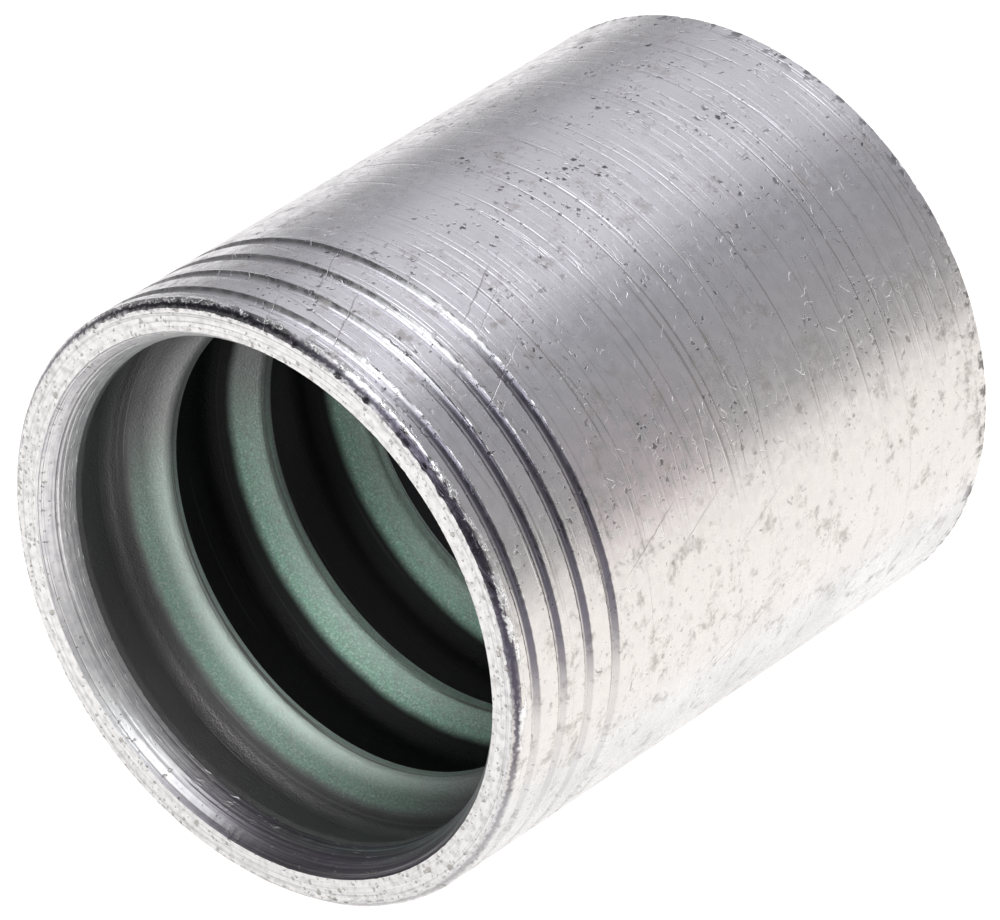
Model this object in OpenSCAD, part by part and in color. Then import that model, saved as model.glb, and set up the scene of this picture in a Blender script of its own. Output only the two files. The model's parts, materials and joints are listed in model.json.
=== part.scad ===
// Hose crimp ferrule: one turned steel sleeve, open at the hose end and closed to a collar at the other.
// It lies along Y with the hose mouth facing -Y, and its origin is the centre of the collar bore.
// Every length along the ferrule is measured from the mouth face, towards the collar.

/* [Sleeve] */
// Outer diameter
outer_d = 50; // [49:0.5:56]
// Length between the two end faces
sleeve_length = 57.5; // [56:0.5:80]
// Chamfer round the outer edge of the collar end
rear_chamfer = 0.5; // [0.2:0.1:1.5]

/* [Mouth] */
// Diameter of the lead-in cone at the mouth face
mouth_d = 45; // [43.5:0.1:46]
// Depth of the lead-in cone
lead_in_depth = 3; // [1:0.1:3.4]
// Bore of the lip behind the lead-in cone
lip_d = 42.2; // [40:0.1:43]
// Width of the lip's land
lip_land = 0.6; // [0.2:0.1:1.0]
// Chamfer round the outer edge of the mouth
mouth_chamfer = 0.6; // [0.2:0.1:1]

/* [Grip teeth] */
// Number of ring-shaped teeth along the bore
tooth_count = 4; // [1:1:4]
// Bore over the tooth crests
crest_d = 38.9; // [38.4:0.1:40]
// Bore of the roots between the teeth
root_d = 45.2; // [44.6:0.1:45.6]
// Distance from one crest to the next
tooth_pitch = 11.1; // [10.6:0.1:11.6]
// Distance from the mouth face to the back edge of the first crest
first_crest = 12.7; // [12.5:0.1:13.2]
// Width of a crest's flat land
crest_land = 0.8; // [0.4:0.1:1.2]
// Angle between the axis and a tooth's front flank, which the hose slides over
front_flank_angle = 42; // [40:1:50]
// Angle between the axis and a tooth's back flank, which holds the hose
back_flank_angle = 70; // [66:1:80]
// Radius of the fillet between a root and the front flank after it
root_fillet = 3; // [1:0.1:3.2]

/* [Collar] */
// Bore of the collar, which seats in the groove of the hose stem
collar_bore_d = 30; // [20:0.5:36]
// Thickness of the collar
collar_thickness = 5; // [3:0.1:6]
// Chamfer at both ends of the collar bore
collar_chamfer = 0.4; // [0.1:0.1:1]

/* [Marking grooves] */
// Number of marking grooves round the outside
groove_count = 4; // [1:1:6]
// Distance from the mouth face to the middle of the first groove
first_groove = 2.1; // [2:0.1:4]
// Distance from one groove to the next
groove_pitch = 3.1; // [2:0.1:6]
// Width of a groove at the surface
groove_width = 1.2; // [1.0:0.1:1.6]
// Depth of a groove
groove_depth = 0.35; // [0.15:0.05:0.45]

/* [Hidden] */
outer_r = outer_d / 2;
crest_r = crest_d / 2;
root_r = root_d / 2;
lip_r = lip_d / 2;
collar_bore_r = collar_bore_d / 2;
collar_face = sleeve_length - collar_thickness;
mouth_to_origin = sleeve_length - collar_thickness / 2;
tooth_height = root_r - crest_r;
front_flank_length = tooth_height / tan(front_flank_angle);
fillet_tangent = root_fillet * tan(front_flank_angle / 2);
// A marking groove is an arc of this radius, which spans twice this angle.
groove_arc_r = (pow(groove_width / 2, 2) + pow(groove_depth, 2)) / (2 * groove_depth);
groove_half_angle = asin(groove_width / 2 / groove_arc_r);
groove_steps = 8;
fillet_steps = 6;
round_facets = 180;
// The seam of the turned surface, kept off the lines that the ferrule lies on when it is set down.
seam_angle = 1.5;

// Every outline point is [radius, distance from the mouth face].

// One marking groove, met on the way from the mouth to the collar end.
function groove(middle) = [
    for (i = [0 : groove_steps])
        let (turn = groove_half_angle * (2 * i / groove_steps - 1))
        [outer_r + groove_arc_r * (cos(groove_half_angle) - cos(turn)),
         middle + groove_arc_r * sin(turn)]
];

// One tooth, met on the way back: its back flank, its land, its front flank and the fillet before it.
function tooth(crest_back) = let (
    crest_front = crest_back - crest_land,
    fillet_start = crest_front - front_flank_length - fillet_tangent
) concat(
    [[root_r, crest_back + tooth_height / tan(back_flank_angle)],
     [crest_r, crest_back],
     [crest_r, crest_front]],
    [for (i = [0 : fillet_steps])
        let (turn = front_flank_angle * (1 - i / fillet_steps))
        [root_r - root_fillet * (1 - cos(turn)), fillet_start + root_fillet * sin(turn)]]
);

outside = concat(
    [[outer_r - mouth_chamfer, 0], [outer_r, mouth_chamfer]],
    [for (i = [0 : groove_count - 1]) each groove(first_groove + i * groove_pitch)],
    [[outer_r, sleeve_length - rear_chamfer], [outer_r - rear_chamfer, sleeve_length]]
);

collar_outline = [
    [collar_bore_r + collar_chamfer, sleeve_length],
    [collar_bore_r, sleeve_length - collar_chamfer],
    [collar_bore_r, collar_face + collar_chamfer],
    [collar_bore_r + collar_chamfer, collar_face],
    [root_r, collar_face]
];

teeth = [for (i = [tooth_count - 1 : -1 : 0]) each tooth(first_crest + i * tooth_pitch)];

mouth_outline = [
    [root_r, lead_in_depth + lip_land + (root_r - lip_r) / tan(back_flank_angle)],
    [lip_r, lead_in_depth + lip_land],
    [lip_r, lead_in_depth],
    [mouth_d / 2, 0]
];

module ferrule() {
    color("silver")
        translate([0, -mouth_to_origin, 0])
            rotate([-90, 0, 0])
                rotate([0, 0, seam_angle])
                    rotate_extrude($fn = round_facets)
                        polygon(concat(outside, collar_outline, teeth, mouth_outline));
}

ferrule();
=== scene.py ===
"""A turned steel crimp ferrule lying on a pale table.

The CAD node is replaced by a finer lathed mesh of the same outline, with worn edges and dents. The plating,
scratches, pits and turning marks are node materials. Sizes in the outline are millimetres from the mouth face
and from the axis. The mesh, the camera and the lights are in metres, in the frame of the CAD model. Angles
round the axis are degrees from +X towards +Z.
"""

import json
import math

import bpy
import numpy as np
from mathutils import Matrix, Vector


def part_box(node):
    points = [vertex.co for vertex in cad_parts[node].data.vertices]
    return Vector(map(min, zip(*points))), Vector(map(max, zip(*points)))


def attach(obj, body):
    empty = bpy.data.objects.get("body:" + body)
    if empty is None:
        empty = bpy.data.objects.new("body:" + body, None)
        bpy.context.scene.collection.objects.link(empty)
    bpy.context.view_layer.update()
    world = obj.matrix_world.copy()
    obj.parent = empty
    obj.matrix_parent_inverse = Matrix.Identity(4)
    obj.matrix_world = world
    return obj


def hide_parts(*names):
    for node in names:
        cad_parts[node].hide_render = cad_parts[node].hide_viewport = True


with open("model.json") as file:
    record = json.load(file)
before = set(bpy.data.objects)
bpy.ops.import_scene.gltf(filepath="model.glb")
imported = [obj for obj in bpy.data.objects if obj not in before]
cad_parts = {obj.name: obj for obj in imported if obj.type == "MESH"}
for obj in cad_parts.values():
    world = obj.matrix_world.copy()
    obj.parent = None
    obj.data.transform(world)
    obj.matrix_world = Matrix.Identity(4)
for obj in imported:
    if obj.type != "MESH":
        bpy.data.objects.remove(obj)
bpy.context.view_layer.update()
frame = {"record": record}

MM = 0.001
NODE = "ferrule"
LOW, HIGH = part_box(NODE)
CENTRE = (LOW + HIGH) / 2
MOUNTS = {mount["name"]: mount for mount in frame["record"]["mounts"]}

# ---------------------------------------------------------------- sizes, in millimetres

OUTER_R = (HIGH.x - LOW.x) / 2 / MM
LENGTH = (HIGH.y - LOW.y) / MM
MOUTH_Y = LOW.y / MM
CREST_R = MOUNTS["hose_socket"]["dims"]["r_mm"]
COLLAR_BORE_R = MOUNTS["collar_bore"]["dims"]["r_mm"]
COLLAR_CHAMFER = 0.4
COLLAR_THICKNESS = MOUNTS["collar_bore"]["dims"]["length_mm"] + 2 * COLLAR_CHAMFER
REAR_CHAMFER = 0.5
MOUTH_R = 22.5
LEAD_IN_DEPTH = 3.0
LIP_R = 21.1
LIP_LAND = 0.6
MOUTH_CHAMFER = 0.6
TOOTH_COUNT = 4
ROOT_R = 22.6
TOOTH_PITCH = 11.1
FIRST_CREST = 12.7
CREST_LAND = 0.8
CREST_WEAR = 0.14
WORN_RIM = 2.0
FRONT_FLANK_ANGLE = math.radians(42)
BACK_FLANK_ANGLE = math.radians(70)
ROOT_FILLET = 3.0
LEAD_IN_TURN = math.radians(36)
GROOVE_COUNT = 4
FIRST_GROOVE = 2.1
GROOVE_PITCH = 3.1
GROOVE_WIDTH = 1.2
GROOVE_DEPTH = 0.35

COLLAR_FACE = LENGTH - COLLAR_THICKNESS
TOOTH_HEIGHT = ROOT_R - CREST_R
LIP_BACK = LEAD_IN_DEPTH + LIP_LAND + (ROOT_R - LIP_R) / math.tan(BACK_FLANK_ANGLE)

# ---------------------------------------------------------------- the outline, as [radius, along] points

# How many points a ring has, and where the rows of a front flank lie from its crest to its fillet.
FINE, MEDIUM, COARSE = 1440, 720, 360
ZONES = ["outside", "mouth_face", "lead_in", "bore", "collar"]
FLANK_ROWS = np.array([[0.0], [0.12], [0.5]])
FILLET_ROWS = 4


def line(start, end, rows):
    """Evenly spaced points from start to end, without the last one."""
    share = np.arange(rows)[:, None] / rows
    return np.array(start) * (1 - share) + np.array(end) * share


def groove(middle, rows=6):
    """A round-bottomed marking groove, met from the mouth side."""
    arc_r = ((GROOVE_WIDTH / 2) ** 2 + GROOVE_DEPTH ** 2) / (2 * GROOVE_DEPTH)
    half = math.asin(GROOVE_WIDTH / 2 / arc_r)
    turn = half * (2 * np.arange(rows) / rows - 1)
    radius = OUTER_R + arc_r * (math.cos(half) - np.cos(turn))
    return np.column_stack([radius, middle + arc_r * np.sin(turn)])


def tooth(crest_back):
    """One grip tooth, met from the collar side: back flank, worn land, front flank and fillet."""
    crest_front = crest_back - CREST_LAND
    flank_foot = crest_front - TOOTH_HEIGHT / math.tan(FRONT_FLANK_ANGLE)
    fillet_start = flank_foot - ROOT_FILLET * math.tan(FRONT_FLANK_ANGLE / 2)
    turn = FRONT_FLANK_ANGLE * (1 - np.arange(FILLET_ROWS + 1) / FILLET_ROWS)
    fillet_radius = ROOT_R - ROOT_FILLET * (1 - np.cos(turn))
    fillet = np.column_stack([fillet_radius, fillet_start + ROOT_FILLET * np.sin(turn)])
    root_end = [ROOT_R, crest_back + TOOTH_HEIGHT / math.tan(BACK_FLANK_ANGLE)]
    flank_top = np.array([CREST_R + CREST_WEAR, crest_front])
    land = line([CREST_R, crest_back], flank_top, 2)
    flank = flank_top + FLANK_ROWS * (fillet[0] - flank_top)
    return [
        ("bore", COARSE, line(root_end, [CREST_R, crest_back], 2)),
        ("bore", COARSE, np.vstack([land, flank])),
        ("bore", COARSE, fillet),
    ]


def lead_in(rows=4):
    """The lead-in from the lip to the mouth face, worn into an arc."""
    start = np.array([LIP_R, LEAD_IN_DEPTH])
    chord = np.array([MOUTH_R, 0]) - start
    share = np.arange(rows)[:, None] / rows
    bulge = LEAD_IN_TURN / 2 * share * (1 - share)
    return start + share * chord + bulge * np.array([chord[1], -chord[0]])


def outside_stretches():
    """From the mouth's chamfer, over the marking grooves, to the chamfer at the collar end."""
    stretches = [("outside", FINE, line([OUTER_R - MOUTH_CHAMFER, 0], [OUTER_R, MOUTH_CHAMFER], 4))]
    land_start = MOUTH_CHAMFER
    for i in range(GROOVE_COUNT):
        middle = FIRST_GROOVE + i * GROOVE_PITCH
        land_end = middle - GROOVE_WIDTH / 2
        stretches.append(("outside", MEDIUM, line([OUTER_R, land_start], [OUTER_R, land_end], 3)))
        stretches.append(("outside", MEDIUM, groove(middle)))
        land_start = middle + GROOVE_WIDTH / 2
    rear_edge = LENGTH - REAR_CHAMFER
    rim_start = rear_edge - WORN_RIM
    plain = line([OUTER_R, land_start], [OUTER_R, rim_start], 28)
    rim = line([OUTER_R, rim_start], [OUTER_R, rear_edge], 5)
    stretches.append(("outside", MEDIUM, np.vstack([plain, rim])))
    stretches.append(("outside", MEDIUM, line([OUTER_R, rear_edge], [OUTER_R - REAR_CHAMFER, LENGTH], 2)))
    return stretches


def collar_stretches():
    """Over the end face, through the collar bore and out along the collar's inner face."""
    corners = [
        ([OUTER_R - REAR_CHAMFER, LENGTH], 6),
        ([COLLAR_BORE_R + COLLAR_CHAMFER, LENGTH], 1),
        ([COLLAR_BORE_R, LENGTH - COLLAR_CHAMFER], 3),
        ([COLLAR_BORE_R, COLLAR_FACE + COLLAR_CHAMFER], 1),
        ([COLLAR_BORE_R + COLLAR_CHAMFER, COLLAR_FACE], 3),
        ([ROOT_R, COLLAR_FACE], 0),
    ]
    return [
        ("collar", COARSE, line(start, end, rows))
        for (start, rows), (end, _) in zip(corners, corners[1:])]


def bore_stretches():
    """Back towards the mouth, over the teeth and the lip."""
    stretches = []
    root_from = COLLAR_FACE
    for i in reversed(range(TOOTH_COUNT)):
        crest_back = FIRST_CREST + i * TOOTH_PITCH
        root_to = crest_back + TOOTH_HEIGHT / math.tan(BACK_FLANK_ANGLE)
        stretches.append(("bore", COARSE, line([ROOT_R, root_from], [ROOT_R, root_to], 3)))
        back, crest, (zone, around, fillet) = tooth(crest_back)
        stretches += [back, crest, (zone, around, fillet[:-1])]
        root_from = fillet[-1][1]
    lip_end = [LIP_R, LEAD_IN_DEPTH + LIP_LAND]
    return stretches + [
        ("bore", COARSE, line([ROOT_R, root_from], [ROOT_R, LIP_BACK], 3)),
        ("bore", MEDIUM, line([ROOT_R, LIP_BACK], lip_end, 2)),
        ("bore", FINE, line(lip_end, [LIP_R, LEAD_IN_DEPTH], 2)),
    ]


def outline():
    """The closed outline as stretches: (zone, points round the axis, [radius, along] points).

    A stretch's first point is a sharp corner.
    """
    return outside_stretches() + collar_stretches() + bore_stretches() + [
        ("lead_in", FINE, lead_in()),
        ("mouth_face", FINE, line([MOUTH_R, 0], [OUTER_R - MOUTH_CHAMFER, 0], 4)),
    ]


# ---------------------------------------------------------------- wear, as changes to the turned shape

rng = np.random.default_rng(7)


def wobble(angle, slowest, fastest, waves=60):
    """A smooth random curve round the axis, about -1 to 1, with between slowest and fastest waves a turn."""
    turns = rng.integers(slowest, fastest + 1, waves)
    phase = rng.uniform(0, 2 * math.pi, waves)
    return np.cos(turns[:, None] * angle[None, :] + phase[:, None]).sum(0) / math.sqrt(waves) / 1.6


def nicked(angle, count, width, depth):
    """Sudden nicks in an edge: 0 where it is whole, up to depth where it is chipped."""
    where = rng.uniform(0, 2 * math.pi, count)
    size = rng.uniform(0.3, 1, count)
    away = (angle[None, :] - where[:, None] + math.pi) % (2 * math.pi) - math.pi
    return (depth * size[:, None] * np.exp(-(away / (width * size[:, None])) ** 2)).max(0)


def ragged(angle, amount, nicks):
    """How far a worn edge has moved in, in millimetres: a fine ripple with nicks in it."""
    return amount * np.abs(wobble(angle, 20, 300)) + nicked(angle, nicks, 0.012, 3 * amount)


def wear_edges(rings):
    """Ragged edges where the tool broke out or the ferrule was knocked."""
    grooves_end = FIRST_GROOVE + GROOVE_COUNT * GROOVE_PITCH
    for ring in rings:
        if not ring["corner"]:
            continue
        radius = ring["radius"][0]
        along = ring["along"][0]
        angle = ring["angle"]
        edge = (round(radius, 2), round(along, 2))
        if edge == (round(OUTER_R, 2), MOUTH_CHAMFER):
            ring["along"] = along + ragged(angle, 0.09, 60)
        elif edge == (round(OUTER_R - MOUTH_CHAMFER, 2), 0):
            ring["radius"] = radius - ragged(angle, 0.07, 50)
        elif edge == (LIP_R, LEAD_IN_DEPTH):
            ring["radius"] = radius + 0.012 * wobble(angle, 40, 260)
            ring["along"] = along + 0.03 * wobble(angle, 60, 340)
        elif edge == (MOUTH_R, 0):
            ring["radius"] = radius + ragged(angle, 0.018, 25)
        elif edge == (round(OUTER_R, 2), round(LENGTH - REAR_CHAMFER, 2)):
            ring["along"] = along - ragged(angle, 0.06, 45)
        elif abs(radius - OUTER_R) < 0.01 and along < grooves_end:
            ring["along"] = along + 0.035 * wobble(angle, 15, 240)


def dent(rings, count=70):
    """Shallow dents knocked into the outside, each [degrees round the axis, along, width, depth]."""
    grooves_end = FIRST_GROOVE + (GROOVE_COUNT - 1) * GROOVE_PITCH + GROOVE_WIDTH
    dents = [
        [rng.uniform(0, 360), rng.uniform(13, LENGTH - 2), rng.uniform(1.6, 3.2), rng.uniform(0.02, 0.05)]
        for _ in range(count)]
    for ring in rings:
        if ring["zone"] != "outside" or ring["along"].min() < grooves_end:
            continue
        for degrees, along, width, depth in dents:
            away = (ring["angle"] - math.radians(degrees) + math.pi) % (2 * math.pi) - math.pi
            squared = (away * OUTER_R) ** 2 + (ring["along"] - along) ** 2
            ring["radius"] = ring["radius"] - depth * np.exp(-squared / (0.5 * width) ** 2)


# ---------------------------------------------------------------- the mesh

def make_rings(stretches):
    """The outline's points as rings of points round the axis."""
    rings = []
    for zone, around, points in stretches:
        angle = np.arange(around) * 2 * math.pi / around
        for i, (radius, along) in enumerate(points):
            rings.append({
                "zone": zone, "around": around, "corner": i == 0, "angle": angle,
                "radius": np.full(around, float(radius)), "along": np.full(around, float(along))})
    start = 0
    for ring in rings:
        ring["start"] = start
        start += ring["around"]
    return rings


def lathe(name, rings):
    """A closed ring-shaped mesh from the rings. Rings with twice as many points join on with triangles."""
    faces, materials = [], []
    for ring, after in zip(rings, rings[1:] + rings[:1]):
        made = band(ring, after)
        faces += made
        materials += [ZONES.index(ring["zone"])] * len(made)
    co = np.vstack([
        np.column_stack([ring["radius"] * np.cos(ring["angle"]), ring["along"] + MOUTH_Y,
                         ring["radius"] * np.sin(ring["angle"])])
        for ring in rings])
    mesh = bpy.data.meshes.new(name)
    mesh.from_pydata(co * MM, [], faces)
    mesh.polygons.foreach_set("material_index", materials)
    mesh.polygons.foreach_set("use_smooth", [True] * len(mesh.polygons))
    corners = np.concatenate([
        np.full(ring["around"], i if ring["corner"] else -1) for i, ring in enumerate(rings)])
    edges = np.zeros(len(mesh.edges) * 2, int)
    mesh.edges.foreach_get("vertices", edges)
    ends = corners[edges.reshape(-1, 2)]
    attribute = mesh.attributes.new("sharp_edge", "BOOLEAN", "EDGE")
    attribute.data.foreach_set("value", (ends[:, 0] >= 0) & (ends[:, 0] == ends[:, 1]))
    mesh.update()
    made = bpy.data.objects.new(name, mesh)
    bpy.context.scene.collection.objects.link(made)
    return made


def band(ring, after):
    """The faces between two rings, which have the same number of points, or twice or half as many."""
    a, b, n, m = ring["start"], after["start"], ring["around"], after["around"]
    if n == m:
        return [(a + i, a + (i + 1) % n, b + (i + 1) % n, b + i) for i in range(n)]
    if n > m:
        return [tuple(reversed(face)) for face in band(after, ring)]
    step = m // n
    faces = []
    for i in range(n):
        near, far = a + i, a + (i + 1) % n
        fan = [b + (i * step + k) % m for k in range(step + 1)]
        middle = step // 2
        faces += [(near, fan[k + 1], fan[k]) for k in range(middle)]
        faces.append((near, far, fan[middle]))
        faces += [(far, fan[k + 1], fan[k]) for k in range(middle, step)]
    return faces


# ---------------------------------------------------------------- materials

class Shader:
    """Short calls for building one material's nodes, in millimetres on the ferrule's surface."""

    def __init__(self, name):
        self.material = bpy.data.materials.new(name)
        self.material.use_nodes = True
        self.tree = self.material.node_tree
        self.tree.nodes.clear()
        self.place()

    def node(self, kind, settings=None, **inputs):
        """A node with its settings, and its inputs named with _ for spaces."""
        made = self.tree.nodes.new(kind)
        for key, value in (settings or {}).items():
            setattr(made, key, value)
        for key, value in inputs.items():
            self.put(made.inputs[key.replace("_", " ")], value)
        return made

    def put(self, socket, value):
        """Link value to the socket if it is a socket, or else set it on the socket."""
        if isinstance(value, bpy.types.NodeSocket):
            self.tree.links.new(value, socket)
        else:
            socket.default_value = value

    def math(self, operation, *values):
        made = self.tree.nodes.new("ShaderNodeMath")
        made.operation = operation
        for socket, value in zip(made.inputs, values):
            self.put(socket, value)
        return made.outputs[0]

    def most(self, first, *others):
        for other in others:
            first = self.math("MAXIMUM", first, other)
        return first

    def minus(self, first, second):
        return self.math("SUBTRACT", first, second)

    def times(self, first, *others):
        for other in others:
            first = self.math("MULTIPLY", first, other)
        return first

    def plus(self, first, *others):
        for other in others:
            first = self.math("ADD", first, other)
        return first

    def ramp(self, value, low, high, to_low=0.0, to_high=1.0):
        """value mapped smoothly from low..high to to_low..to_high, and held there outside."""
        made = self.node("ShaderNodeMapRange", {"interpolation_type": "SMOOTHSTEP"}, Value=value)
        numbers = {"From Min": low, "From Max": high, "To Min": to_low, "To Max": to_high}
        for key, number in numbers.items():
            self.put(made.inputs[key], number)
        return made.outputs[0]

    def mix(self, share, a, b):
        """Colour a where share is 0 and b where it is 1."""
        made = self.tree.nodes.new("ShaderNodeMix")
        made.data_type = "RGBA"
        self.put(made.inputs["Factor"], share)
        self.put(made.inputs[6], (*a, 1) if isinstance(a, tuple) else a)
        self.put(made.inputs[7], (*b, 1) if isinstance(b, tuple) else b)
        return made.outputs[2]

    def vector(self, *values):
        made = self.tree.nodes.new("ShaderNodeCombineXYZ")
        for socket, value in zip(made.inputs, values):
            self.put(socket, value)
        return made.outputs[0]

    def place(self):
        """x, z, the distance from the mouth, the radius, and the angle and distance round the axis."""
        position = self.node("ShaderNodeTexCoord").outputs["Object"]
        scaled = self.node("ShaderNodeVectorMath", {"operation": "SCALE"})
        self.put(scaled.inputs[0], position)
        scaled.inputs["Scale"].default_value = 1 / MM
        split = self.node("ShaderNodeSeparateXYZ", Vector=scaled.outputs[0])
        self.x, y, self.z = split.outputs
        self.along = self.minus(y, MOUTH_Y)
        self.radius = self.math("SQRT", self.plus(self.times(self.x, self.x), self.times(self.z, self.z)))
        self.angle = self.math("ARCTAN2", self.z, self.x)
        self.round = self.times(self.angle, OUTER_R)
        self.bend = [self.minus(self.noise(0.85, None, 1.0, shift), 0.5) for shift in (11.0, 23.0)]
        self.crumple = [self.minus(self.noise(2.6, None, 2.0, shift), 0.5) for shift in (31.0, 57.0)]

    def facing(self, degrees):
        """1 at that angle round the axis, and -1 opposite it."""
        return self.math("COSINE", self.minus(self.angle, math.radians(degrees)))

    def noise(self, rate, round_rate=None, detail=2.0, shift=0.0, across=None, sharpness=0.5):
        """Noise with rate changes per mm along the axis, or along across, and round_rate per mm round it."""
        round_rate = rate if round_rate is None else round_rate
        across = self.along if across is None else across
        shifted = self.math("MULTIPLY_ADD", self.x, round_rate, shift)
        at = self.vector(shifted, self.times(across, rate), self.times(self.z, round_rate))
        made = self.node("ShaderNodeTexNoise", Vector=at, Scale=1.0, Detail=detail, Roughness=sharpness)
        return made.outputs["Fac"]

    def cells(self, at, dimensions):
        """The distance to the nearest random point, and that point's two random numbers."""
        made = self.node("ShaderNodeTexVoronoi", {"voronoi_dimensions": dimensions}, Scale=1.0)
        self.put(made.inputs["W" if dimensions == "1D" else "Vector"], at)
        split = self.node("ShaderNodeSeparateColor", Color=made.outputs["Color"])
        return made.outputs["Distance"], split.outputs[0], split.outputs[1]

    def inside(self, distance, near, far):
        """1 within near of a point, fading to 0 at far from it."""
        return self.minus(1.0, self.ramp(distance, near, far))

    def chosen(self, number, share):
        """1 for that share of the random numbers and 0 for the others."""
        return self.ramp(number, 1.0 - share, 1.02 - share)

    def rings(self, spacing, width, share, across=None, seed=0.0, drift=0.8):
        """Thin lines round the axis, each over random arcs: 1 on a line and 0 off it."""
        across = self.along if across is None else across
        wander = self.times(self.noise(0.02, 0.03, 1.0, seed + 40), drift)
        distance, one, two = self.cells(self.times(self.plus(across, wander, seed * 7.3), 1 / spacing), "1D")
        reach = self.times(self.plus(one, 0.35), width / spacing)
        line = self.inside(distance, self.times(reach, 0.3), reach)
        shifted = self.math("MULTIPLY_ADD", self.x, 0.05, self.times(one, 90))
        at = self.vector(shifted, self.times(two, 70), self.times(self.z, 0.05))
        arc = self.node("ShaderNodeTexNoise", Vector=at, Scale=1.0, Detail=2.0).outputs["Fac"]
        on_arc = self.ramp(arc, 0.62 - share, 0.70 - share)
        return self.times(line, on_arc, self.ramp(two, 0.0, 1.0, 0.3, 1.0))

    def dashes(self, degrees, length, width, spacing, share, warp=0.5, seed=0.0):
        """Short dents that run at degrees from the ring direction: 1 in a dent and 0 outside."""
        u = self.plus(self.round, self.times(self.bend[0], 2 * warp))
        v = self.plus(self.along, self.times(self.bend[1], 2 * warp))
        cosine = math.cos(math.radians(degrees))
        sine = math.sin(math.radians(degrees))
        lengthways = self.plus(self.times(u, cosine), self.times(v, sine), seed * 5.1)
        sideways = self.minus(self.times(v, cosine), self.times(u, sine))
        long_spacing = spacing * (length / width)
        at = self.vector(self.times(lengthways, 1 / long_spacing), self.times(sideways, 1 / spacing), 0.0)
        distance, one, two = self.cells(at, "2D")
        reach = 0.5 * width / spacing
        dash = self.inside(distance, 0.35 * reach, reach)
        return self.times(dash, self.chosen(one, share), self.ramp(two, 0.0, 1.0, 0.4, 1.0))

    def specks(self, spacing, size, share, warp=0.25, seed=0.0, on_end=False):
        """Irregular pits, on a surface round the axis or on an end face: 1 inside and 0 outside."""
        first, second = (self.x, self.z) if on_end else (self.round, self.along)
        u = self.plus(first, self.times(self.crumple[0], 2 * warp), seed * 3.3)
        v = self.plus(second, self.times(self.crumple[1], 2 * warp))
        at = self.vector(self.times(u, 1 / spacing), self.times(v, 1 / spacing), 0.0)
        distance, one, two = self.cells(at, "2D")
        reach = self.times(self.plus(self.times(two, two), 0.2), 0.5 * size / spacing)
        return self.times(self.inside(distance, self.times(reach, 0.5), reach), self.chosen(one, share))

    def finish(self, colour, roughness, height, anisotropy):
        """The plated metal, with height in millimetres."""
        shader = self.node("ShaderNodeBsdfPrincipled", Metallic=1.0, Base_Color=colour, Roughness=roughness)
        shader.inputs["Anisotropic"].default_value = anisotropy
        bump = self.node("ShaderNodeBump", Height=height)
        bump.inputs["Strength"].default_value = 1.0
        bump.inputs["Distance"].default_value = MM
        self.put(shader.inputs["Normal"], bump.outputs[0])
        tangent = self.node("ShaderNodeTangent", {"direction_type": "RADIAL", "axis": "Y"})
        self.put(shader.inputs["Tangent"], tangent.outputs[0])
        out = self.node("ShaderNodeOutputMaterial")
        self.put(out.inputs["Surface"], shader.outputs[0])
        return self.material


BRIGHT_ZINC = (0.82, 0.815, 0.82)
DULL_ZINC = (0.70, 0.695, 0.705)
WARM_ZINC = (0.84, 0.795, 0.765)
DULL_WARM_ZINC = (0.75, 0.72, 0.69)
ROSE_ZINC = (0.86, 0.74, 0.74)
VIOLET_ZINC = (0.79, 0.78, 0.85)
STAIN = (0.36, 0.33, 0.30)
GRIME = (0.055, 0.05, 0.06)
# Bare metal in scratches and torn edges, also used for the painted glints on the burrs by the mouth chamfer.
BARE_METAL_AND_GLINT = (0.95, 0.95, 0.96)
# Dark colour for painted shade on the groove walls, and for grime at the mouth face's outer edge.
SHADE_AND_GRIME_DARK = (0.10, 0.09, 0.13)
# Painted shade on the mouth chamfer.
CHAMFER_SHADE = (0.085, 0.075, 0.105)
MOUTH_DULL = (0.66, 0.655, 0.655)
MOUTH_TURNED = (0.60, 0.59, 0.61)
MOUTH_LINE = (0.45, 0.44, 0.46)
LEAD_IN_BRIGHT = (0.93, 0.92, 0.93)
LEAD_IN_DULL = (0.78, 0.77, 0.80)
LEAD_IN_TURNED = (0.50, 0.49, 0.53)
# Painted shade on the lead-in's lower side.
LEAD_IN_SHADE = (0.17, 0.155, 0.19)
# Green passivation tint, brighter than BORE_GREY: partly a painted highlight on the flanks that face the
# light.
BORE_GREEN = (0.44, 0.76, 0.61)
BORE_GREY = (0.44, 0.44, 0.445)
BORE_GLINT = (0.86, 0.97, 0.91)
# Painted highlight on the tooth crests: green where the flanks are green, grey elsewhere.
CREST_HIGHLIGHT_GREEN = (0.86, 0.97, 0.92)
CREST_HIGHLIGHT_GREY = (0.80, 0.80, 0.81)
CREST_GREY = (0.30, 0.30, 0.31)
# Painted shade in the tooth roots: near black beyond the first crest, dark grey in the first root and darker
# in its fillet.
ROOT_SHADE_BLACK = (0.035, 0.035, 0.037)
ROOT_SHADE_GREY = (0.37, 0.355, 0.365)
FILLET_SHADE_GREY = (0.12, 0.118, 0.12)
COLLAR_TURNED = (0.55, 0.545, 0.56)

# Where patches, and the sides with painted shade or painted highlights, lie round the axis, in degrees.
TOP = 75
# The side where the burrs are painted white as glints.
BURR_GLINT_SIDE = 70
MOST_HANDLED = 58
DARK_RINGS = 40
# The side round the axis where the groove walls get the most painted shade.
SHADED_GROOVE_SIDE = 32
ROSE_PATCH = 31
WARM_PATCH = 24
DULL_PATCH = 5
FEW_PITS = -12
UNDERSIDE = -30
LEAD_IN_ROUGH = 165
# The side of the bore that faces the light, where its flanks are painted brighter.
BORE_LIT_SIDE = 238
# The side of the lead-in with painted shade.
LEAD_IN_SHADED_SIDE = 288


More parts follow.
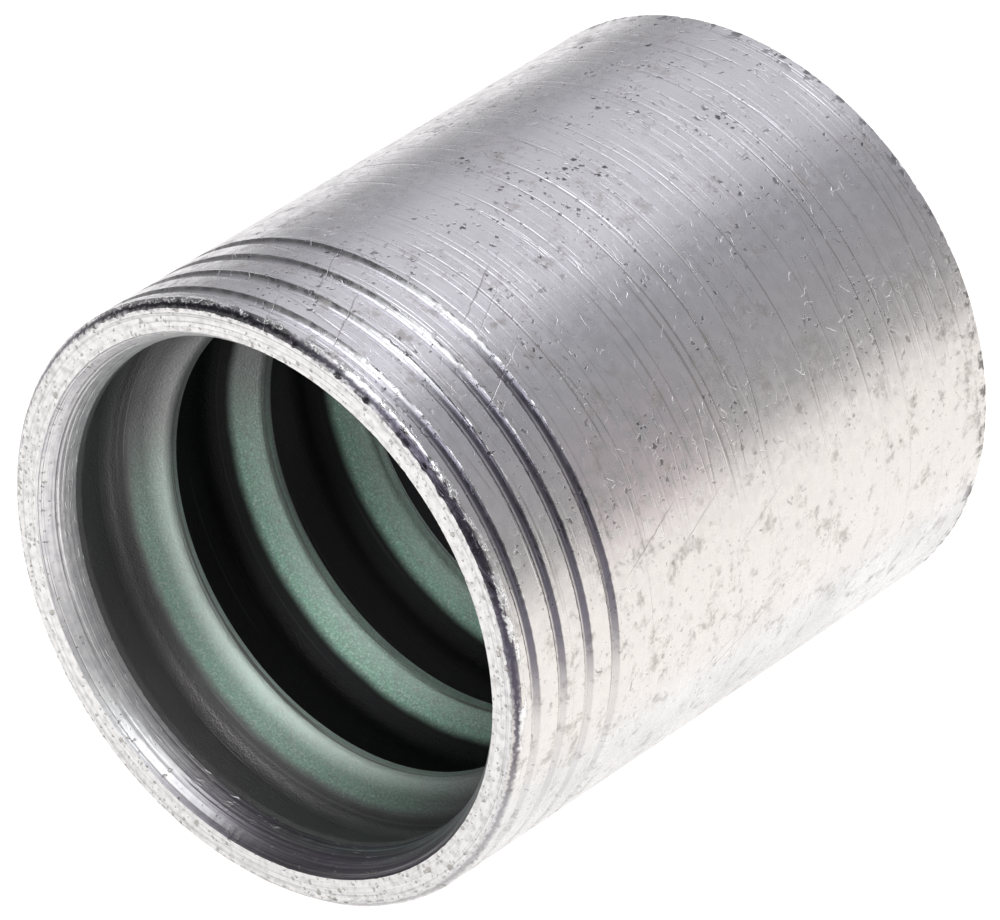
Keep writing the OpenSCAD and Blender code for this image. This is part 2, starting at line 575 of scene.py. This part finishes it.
def pits_and_nicks(sh, stains, scuffed):
    """Fine pits in clusters, larger single pits and short nicks, each 1 inside and 0 outside."""
    clusters = sh.ramp(sh.noise(0.22, None, 3.0, 17.0, sharpness=0.6), 0.45, 0.60)
    fine = sh.specks(0.55, 0.34, 0.45, 0.35, seed=1.0)
    few_fine = sh.ramp(sh.facing(FEW_PITS), 0.70, 0.92, 1.0, 0.45)
    fine = sh.times(fine, sh.most(clusters, stains), few_fine)
    few_large = sh.ramp(sh.facing(FEW_PITS), 0.70, 0.92, 1.0, 0.2)
    large = sh.specks(1.2, 0.50, 0.34, 0.45, seed=2.0)
    large = sh.times(large, sh.plus(sh.times(clusters, 0.75), 0.25), few_large)
    nicks = sh.dashes(-20, 0.8, 0.22, 1.3, 0.30, 0.9, seed=6.0)
    return fine, large, sh.times(nicks, sh.plus(sh.times(scuffed, 0.6), 0.3))


def groove_wall_shade(sh):
    """Painted shade on the far walls of the marking grooves, which face the mouth: 1 on them and 0 elsewhere,
    strongest on one side round the axis.
    """
    cut = sh.ramp(sh.minus(OUTER_R, sh.radius), 0.03, 0.12)
    from_middle = sh.plus(sh.along, 0.5 * GROOVE_PITCH - FIRST_GROOVE)
    step = sh.math("FLOORED_MODULO", from_middle, GROOVE_PITCH)
    far_wall = sh.ramp(step, 0.5 * GROOVE_PITCH - 0.12, 0.5 * GROOVE_PITCH + 0.12)
    # Painted shade is strongest on this side round the axis.
    shaded_side = sh.ramp(sh.facing(SHADED_GROOVE_SIDE), 0.80, 0.95)
    return sh.times(cut, far_wall, sh.plus(sh.times(shaded_side, 0.75), 0.15))


def outside_colour(sh, cloud, fine_cloud, turning):
    """Zinc plate with soft differences in brightness and tint round the ferrule."""
    colour = sh.mix(sh.ramp(cloud, 0.32, 0.68), DULL_ZINC, BRIGHT_ZINC)
    colour = sh.mix(sh.ramp(fine_cloud, 0.35, 0.75, 0.0, 0.35), colour, DULL_ZINC)
    colour = sh.mix(sh.ramp(sh.facing(WARM_PATCH), 0.90, 1.0, 0.0, 0.8), colour, WARM_ZINC)
    colour = sh.mix(sh.ramp(sh.facing(DULL_PATCH), 0.90, 0.975, 0.0, 0.9), colour, DULL_WARM_ZINC)
    rose = sh.times(
        sh.ramp(sh.facing(ROSE_PATCH), 0.955, 1.0), sh.ramp(sh.along, 8.0, 14.0),
        sh.ramp(sh.along, 31.0, 22.0), sh.ramp(fine_cloud, 0.3, 0.6))
    colour = sh.mix(sh.times(rose, 0.85), colour, ROSE_ZINC)
    colour = sh.mix(sh.ramp(sh.facing(TOP), 0.45, 1.0, 0.0, 0.55), colour, VIOLET_ZINC)
    return sh.mix(sh.ramp(turning, 0.3, 0.7, 0.0, 0.16), colour, DULL_ZINC)


def outside_metal():
    """Zinc-plated and turned, with handling marks: rings, short dents, pits in clusters and soft stains, with
    painted shade on the mouth chamfer and the groove walls and painted glints on the burrs.
    """
    sh = Shader("plated_outside")
    cloud = sh.noise(0.16, None, 3.0, 3.0)
    fine_cloud = sh.noise(1.1, None, 4.0, 8.0)
    turning = sh.noise(5.5, 0.06, 3.0, 1.0)
    scuffed = sh.ramp(sh.noise(0.12, None, 2.0, 27.0), 0.40, 0.60)
    handled = sh.times(sh.ramp(sh.facing(MOST_HANDLED), 0.90, 0.98), sh.ramp(sh.along, 32.0, 20.0))
    scuffed = sh.most(scuffed, handled)
    long_rings = sh.rings(1.7, 0.15, 0.20)
    faint_rings = sh.rings(0.55, 0.10, 0.16, seed=3.0)
    skew_rings = sh.rings(2.6, 0.12, 0.12, seed=5.0, drift=9.0)
    dashes = sh.most(
        sh.dashes(6, 2.4, 0.12, 0.6, 0.40, seed=1.0),
        sh.dashes(-34, 1.3, 0.12, 0.6, 0.32, seed=2.0),
        sh.dashes(58, 1.0, 0.12, 0.6, 0.26, 0.9, seed=4.0))
    dashes = sh.times(dashes, sh.plus(sh.times(scuffed, 0.8), 0.2))
    long_scratches = sh.dashes(64, 10.0, 0.13, 0.9, 0.16, 0.15, seed=8.0)
    under = sh.ramp(sh.facing(UNDERSIDE), 0.35, 0.85)
    stained = sh.most(sh.ramp(sh.noise(0.10, None, 2.0, 71.0), 0.42, 0.60), sh.times(under, 0.9))
    stains = sh.times(sh.ramp(sh.noise(0.5, None, 6.0, 5.0, sharpness=0.76), 0.52, 0.66), stained)
    fine_pits, pits, nicks = pits_and_nicks(sh, stains, scuffed)
    patchy = sh.ramp(sh.noise(0.9, None, 4.0, 61.0, sharpness=0.6), 0.50, 0.60)
    rim = sh.times(sh.ramp(sh.along, LENGTH - 2.4, LENGTH - 0.5), patchy)
    ragged_along = sh.plus(sh.along, sh.times(sh.crumple[0], 0.40))
    # Painted shade on the mouth chamfer, stronger towards the top.
    chamfer = sh.times(
        sh.ramp(ragged_along, 0.55, 0.30), sh.ramp(ragged_along, 0.04, 0.20),
        sh.ramp(sh.facing(TOP), -0.25, 0.35, 0.45, 1.0))
    # Burrs by the mouth chamfer: raised bare metal, painted white only on the side the light falls on, so
    # partly painted glints.
    burr_patches = sh.ramp(sh.noise(1.3, 0.55, 4.0, 47.0, sharpness=0.65), 0.50, 0.56)
    burr_band = sh.times(sh.ramp(ragged_along, 0.30, 0.50), sh.ramp(ragged_along, 1.05, 0.75))
    burrs_and_glints = sh.times(burr_band, burr_patches, sh.ramp(sh.facing(BURR_GLINT_SIDE), -0.1, 0.5))

    colour = outside_colour(sh, cloud, fine_cloud, turning)
    colour = sh.mix(sh.times(stains, 0.55), colour, STAIN)
    colour = sh.mix(sh.times(dashes, 0.45), colour, BARE_METAL_AND_GLINT)
    colour = sh.mix(sh.times(long_scratches, 0.6), colour, STAIN)
    dark_rings = sh.times(sh.ramp(sh.facing(DARK_RINGS), 0.90, 0.975), sh.most(long_rings, skew_rings), 0.55)
    colour = sh.mix(dark_rings, colour, STAIN)
    # Painted shade on the far walls of the marking grooves.
    colour = sh.mix(groove_wall_shade(sh), colour, SHADE_AND_GRIME_DARK)
    # Painted shade on the mouth chamfer.
    colour = sh.mix(sh.times(chamfer, 0.93), colour, CHAMFER_SHADE)
    # Painted glints on the burrs.
    colour = sh.mix(sh.times(burrs_and_glints, 0.85), colour, BARE_METAL_AND_GLINT)
    grime = sh.most(sh.times(rim, 0.7), sh.most(sh.times(fine_pits, 0.72), sh.times(pits, 0.8)))
    colour = sh.mix(sh.most(grime, sh.times(nicks, 0.6)), colour, GRIME)

    roughness = sh.ramp(fine_cloud, 0.25, 0.75, 0.22, 0.34)
    roughness = sh.plus(roughness, sh.times(stains, 0.18), sh.times(pits, 0.3), sh.times(rim, 0.25))
    height = sh.plus(
        sh.times(turning, 0.007), sh.times(fine_cloud, 0.010),
        sh.times(long_rings, -0.028), sh.times(faint_rings, -0.011), sh.times(skew_rings, -0.024),
        sh.times(long_scratches, -0.02), sh.times(dashes, -0.034),
        sh.times(fine_pits, -0.03), sh.times(pits, -0.06), sh.times(nicks, -0.04),
        sh.times(rim, -0.03), sh.times(burrs_and_glints, 0.07))
    return sh.finish(colour, roughness, height, 0.45)


def mouth_face_metal():
    """The sawn and faced ring at the mouth: arcs of turning marks, small pits and grime at its outer edge."""
    sh = Shader("turned_mouth_face")
    outer_edge = OUTER_R - MOUTH_CHAMFER
    grain = sh.noise(1.6, None, 4.0, 2.0)
    turning = sh.noise(7.0, 0.06, 3.0, 1.0, across=sh.radius)
    lines = sh.rings(0.33, 0.08, 0.18, across=sh.radius, seed=2.0, drift=0.3)
    pits = sh.most(
        sh.specks(0.42, 0.30, 0.42, on_end=True),
        sh.specks(1.1, 0.6, 0.35, seed=3.0, on_end=True))
    patchy = sh.ramp(sh.noise(1.8, None, 3.0, 90.0), 0.45, 0.6)
    edge = sh.times(sh.ramp(sh.radius, outer_edge - 0.30, outer_edge), patchy)
    colour = sh.mix(sh.ramp(grain, 0.40, 0.75), BRIGHT_ZINC, MOUTH_DULL)
    colour = sh.mix(sh.ramp(turning, 0.45, 0.75, 0.0, 0.5), colour, MOUTH_TURNED)
    colour = sh.mix(sh.times(lines, 0.5), colour, MOUTH_LINE)
    colour = sh.mix(sh.times(pits, 0.65), colour, STAIN)
    colour = sh.mix(sh.times(edge, 0.6), colour, SHADE_AND_GRIME_DARK)
    roughness = sh.ramp(grain, 0.3, 0.7, 0.3, 0.5)
    height = sh.plus(
        sh.times(turning, 0.02), sh.times(grain, 0.01), sh.times(lines, -0.02), sh.times(pits, -0.05))
    return sh.finish(colour, roughness, height, 0.4)


def lead_in_metal():
    """The cone behind the mouth face, left rough from the tool, with torn metal near the lip and painted
    shade along its turning marks on its lower side.
    """
    sh = Shader("lead_in_cone")
    grain = sh.noise(1.3, None, 4.0, 4.0)
    turning = sh.noise(4.0, 0.05, 4.0, 1.0)
    lines = sh.rings(0.35, 0.12, 0.2, seed=9.0, drift=0.3)
    torn = sh.times(sh.dashes(3, 1.2, 0.14, 0.35, 0.6, 0.4, seed=7.0), sh.ramp(sh.along, 0.4, 2.6))
    pits = sh.times(sh.specks(0.5, 0.30, 0.40, 0.3, seed=5.0), sh.ramp(sh.along, 1.6, 0.3, 0.25, 1.0))
    colour = sh.mix(sh.ramp(grain, 0.35, 0.7), LEAD_IN_BRIGHT, LEAD_IN_DULL)
    colour = sh.mix(sh.ramp(turning, 0.45, 0.75, 0.0, 0.5), colour, LEAD_IN_TURNED)
    # Painted shade on the lead-in's lower side, following its turning marks.
    dark = sh.times(sh.ramp(sh.facing(LEAD_IN_SHADED_SIDE), 0.35, 0.93), sh.ramp(turning, 0.30, 0.62, 0.6, 0.98))
    colour = sh.mix(dark, colour, LEAD_IN_SHADE)
    colour = sh.mix(sh.times(torn, 0.5), colour, BARE_METAL_AND_GLINT)
    colour = sh.mix(sh.times(pits, 0.65), colour, STAIN)
    rougher = sh.ramp(sh.facing(LEAD_IN_ROUGH), 0.0, 0.8, 0.0, 0.14)
    roughness = sh.plus(sh.ramp(turning, 0.3, 0.7, 0.30, 0.44), rougher)
    height = sh.plus(
        sh.times(turning, 0.036), sh.times(lines, -0.03), sh.times(grain, 0.016), sh.times(torn, 0.03),
        sh.times(pits, -0.05))
    return sh.finish(colour, roughness, height, 0.0)


def bore_metal():
    """The toothed bore: roots painted dark as shade, and rough flanks with a green passivation tint that is
    painted brighter, with highlights, on the side that faces the light.

    depth is 0 on the tooth crests and 1 at the roots, and first is 1 up to the first crest.
    """
    sh = Shader("toothed_bore")
    grain = sh.noise(1.5, None, 4.0, 2.0)
    sparkle = sh.noise(5.5, None, 3.0, 12.0, sharpness=0.7)
    turning = sh.noise(4.0, 0.04, 3.0, 1.0)
    lines = sh.rings(1.2, 0.10, 0.14, seed=6.0, drift=0.1)
    # The side of the bore that faces the light: the painted shadow edge, the green tint and the crest
    # highlights follow it.
    lit_side = sh.facing(BORE_LIT_SIDE)
    depth = sh.times(sh.minus(sh.radius, CREST_R), 1 / TOOTH_HEIGHT)
    uneven = sh.times(sh.minus(sh.noise(0.35, None, 3.0, 33.0), 0.5), 0.16)
    first = sh.ramp(sh.along, FIRST_CREST + 1.0, FIRST_CREST - 1.0)
    near_lip = sh.ramp(sh.along, LIP_BACK + 0.6, LIP_BACK)

    # Where the lit flank ends and the painted root shade begins: a ragged painted shadow edge, soft up to the
    # first crest with a step on the lit side, and crisp beyond it.
    ragged_depth = sh.plus(depth, sh.times(uneven, 0.5))
    step = sh.times(sh.ramp(ragged_depth, 0.80, 0.58), sh.ramp(lit_side, 0.2, 0.8, 0.2, 0.5))
    soft_flank = sh.most(step, sh.ramp(ragged_depth, 0.72, 0.05))
    crisp_flank = sh.ramp(sh.plus(depth, sh.times(uneven, 0.3)), 0.66, 0.46)
    flank = sh.plus(sh.times(first, soft_flank), sh.times(sh.minus(1.0, first), crisp_flank))

    # Painted shade in the roots: near black beyond the first crest, dark grey in the first root, darker in
    # its fillet.
    in_fillet = sh.times(sh.ramp(depth, 0.99, 0.88), sh.minus(1.0, near_lip))
    root = sh.mix(first, ROOT_SHADE_BLACK, sh.mix(in_fillet, ROOT_SHADE_GREY, FILLET_SHADE_GREY))
    root = sh.mix(sh.times(sh.ramp(turning, 0.5, 0.8, 0.0, 0.12), first), root, BORE_GREY)
    root = sh.mix(sh.times(lines, sh.plus(sh.times(first, 0.25), 0.06)), root, BORE_GREY)

    # Green passivation tint, strongest on the side that faces the light and towards the crests: partly a
    # painted highlight.
    green = sh.times(
        sh.ramp(lit_side, 0.30, 0.85), sh.ramp(grain, 0.2, 0.6, 0.6, 1.0), sh.ramp(depth, 0.85, 0.55))
    face = sh.mix(green, BORE_GREY, BORE_GREEN)
    # Painted glints in the sparkle, mostly where the flanks are green.
    glints = sh.times(sh.ramp(sparkle, 0.52, 0.64), sh.plus(sh.times(green, 0.8), 0.15))
    face = sh.mix(glints, face, BORE_GLINT)
    face = sh.mix(sh.times(sh.ramp(sparkle, 0.48, 0.38), 0.35), face, CREST_GREY)
    # Painted highlight near the crests, strongest on the side that faces the light.
    crest_highlight = sh.times(
        sh.ramp(depth, 0.55, 0.05), sh.ramp(lit_side, 0.3, 0.85, 0.2, 0.9),
        sh.plus(sh.times(first, 0.5), 0.5))
    face = sh.mix(crest_highlight, face, sh.mix(green, CREST_HIGHLIGHT_GREY, CREST_HIGHLIGHT_GREEN))
    # Flank colour above the painted shadow edge, painted root shade below it.
    colour = sh.mix(sh.times(flank, sh.minus(1.0, near_lip)), root, face)
    crest_lines = sh.times(sh.ramp(depth, 0.09, 0.05), sh.ramp(turning, 0.50, 0.66, 0.0, 0.8))
    colour = sh.mix(crest_lines, colour, CREST_GREY)

    roughness = sh.ramp(depth, 0.98, 0.80, 0.30, 0.50)
    height = sh.plus(
        sh.times(turning, 0.012), sh.times(sparkle, 0.06), sh.times(grain, 0.02), sh.times(lines, -0.005))
    return sh.finish(colour, roughness, height, 0.2)


def collar_metal():
    """The faced collar end and its bore."""
    sh = Shader("collar_end")
    over_face = sh.plus(sh.radius, sh.along)
    grain = sh.noise(1.0, None, 4.0, 6.0)
    turning = sh.noise(3.0, 0.03, 3.0, 1.0, across=over_face)
    lines = sh.rings(0.9, 0.10, 0.24, across=over_face, seed=4.0, drift=0.3)
    pits = sh.ramp(sh.noise(2.3, None, 2.0, 19.0), 0.68, 0.73)
    stained = sh.ramp(sh.noise(0.10, None, 2.0, 71.0), 0.40, 0.60)
    stains = sh.times(sh.ramp(sh.noise(0.7, None, 5.0, 5.0, sharpness=0.65), 0.54, 0.68), stained)
    colour = sh.mix(sh.ramp(grain, 0.3, 0.7), BRIGHT_ZINC, DULL_ZINC)
    colour = sh.mix(sh.ramp(turning, 0.42, 0.66, 0.0, 0.55), colour, COLLAR_TURNED)
    colour = sh.mix(sh.times(lines, 0.4), colour, STAIN)
    colour = sh.mix(sh.times(stains, 0.5), colour, STAIN)
    colour = sh.mix(sh.times(pits, 0.75), colour, GRIME)
    roughness = sh.ramp(grain, 0.3, 0.7, 0.26, 0.4)
    height = sh.plus(
        sh.times(turning, 0.02), sh.times(lines, -0.02), sh.times(grain, 0.012), sh.times(pits, -0.05))
    return sh.finish(colour, roughness, height, 0.4)


rings = make_rings(outline())
wear_edges(rings)
dent(rings)
ferrule = lathe("turned_ferrule", rings)
for material in (outside_metal(), mouth_face_metal(), lead_in_metal(), bore_metal(), collar_metal()):
    ferrule.data.materials.append(material)
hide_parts(NODE)
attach(ferrule, "root")

# ---------------------------------------------------------------- table, light and camera

RADIUS = OUTER_R * MM


def direction(azimuth, elevation):
    """The unit vector towards that azimuth, from -Y towards +X, and elevation, in degrees."""
    a = math.radians(azimuth)
    e = math.radians(elevation)
    return Vector((math.sin(a) * math.cos(e), -math.cos(a) * math.cos(e), math.sin(e)))


def stand(name, data, aim, towards, distance):
    """Put a lamp or camera at that distance from aim, looking back at it."""
    made = bpy.data.objects.new(name, data)
    made.location = aim + towards * distance
    made.rotation_euler = (-towards).to_track_quat("-Z", "Y").to_euler()
    bpy.context.scene.collection.objects.link(made)
    return made


def table(size=4.0):
    """A plain white table that glows a little, so the shadow under the ferrule stays faint."""
    mesh = bpy.data.meshes.new("table")
    z = LOW.z
    corners = [(-size, -size, z), (size, -size, z), (size, size, z), (-size, size, z)]
    mesh.from_pydata(corners, [], [(0, 1, 2, 3)])
    floor = bpy.data.objects.new("table", mesh)
    bpy.context.scene.collection.objects.link(floor)
    material = bpy.data.materials.new("white_table")
    material.use_nodes = True
    shader = material.node_tree.nodes["Principled BSDF"]
    shader.inputs["Base Color"].default_value = (0.56, 0.552, 0.544, 1)
    shader.inputs["Roughness"].default_value = 0.7
    shader.inputs["Specular IOR Level"].default_value = 0.1
    shader.inputs["Emission Color"].default_value = (1.0, 0.985, 0.965, 1)
    shader.inputs["Emission Strength"].default_value = 0.80
    mesh.materials.append(material)


def softbox(name, azimuth, elevation, distance, size, glow, colour):
    """A square area light at that azimuth and elevation from the ferrule, with glow as its radiance."""
    data = bpy.data.lights.new(name, "AREA")
    data.shape = "SQUARE"
    data.size = size
    data.energy = glow * math.pi * size ** 2
    data.color = colour
    stand(name, data, CENTRE, direction(azimuth, elevation), distance)


def room():
    """The room round the table, lighter behind the ferrule than in front of it."""
    world = bpy.data.worlds.new("studio")
    world.use_nodes = True
    nodes = world.node_tree.nodes
    links = world.node_tree.links
    background = nodes["Background"]
    background.inputs["Color"].default_value = (0.98, 0.975, 1.0, 1)
    split = nodes.new("ShaderNodeSeparateXYZ")
    links.new(nodes.new("ShaderNodeTexCoord").outputs["Generated"], split.inputs[0])
    ramp = nodes.new("ShaderNodeMapRange")
    ramp.interpolation_type = "SMOOTHSTEP"
    for key, number in {"From Min": -0.5, "From Max": 0.5, "To Min": 0.07, "To Max": 0.37}.items():
        ramp.inputs[key].default_value = number
    links.new(split.outputs[1], ramp.inputs["Value"])
    links.new(ramp.outputs[0], background.inputs["Strength"])
    bpy.context.scene.world = world


def studio():
    """The room, four softboxes round the ferrule and a small one beside the camera."""
    room()
    cool_white = (0.97, 0.965, 1.0)
    softbox("overhead", 205, 76, 1.2, 0.8, 1.7, cool_white)
    softbox("back_fill", 201, 46, 1.4, 1.2, 0.32, cool_white)
    softbox("front", 16, 60, 1.2, 0.8, 2.3, (0.98, 1.0, 0.98))
    softbox("side", 86, 10, 1.6, 0.5, 0.9, (1.0, 1.0, 1.0))
    softbox("by_the_camera", 29, 38, 1.2, 0.36, 3.3, (0.98, 1.0, 0.99))
    bpy.context.scene.view_settings.view_transform = "Standard"
    bpy.context.scene.cycles.use_denoising = True


def camera(azimuth=39.47, elevation=31.4):
    """A long lens that looks down at the mouth from the right, a little below the ferrule's middle."""
    data = bpy.data.cameras.new("camera")
    data.sensor_width = 36
    data.lens = 327.3
    data.clip_start = 0.01
    rightwards = direction(azimuth + 90, 0)
    aim = CENTRE - 0.0138 * RADIUS * rightwards - Vector((0, 0, 0.0225 * RADIUS))
    made = stand("camera", data, aim, direction(azimuth, elevation), 27.95 * RADIUS)
    bpy.context.scene.camera = made


table()
studio()
camera()
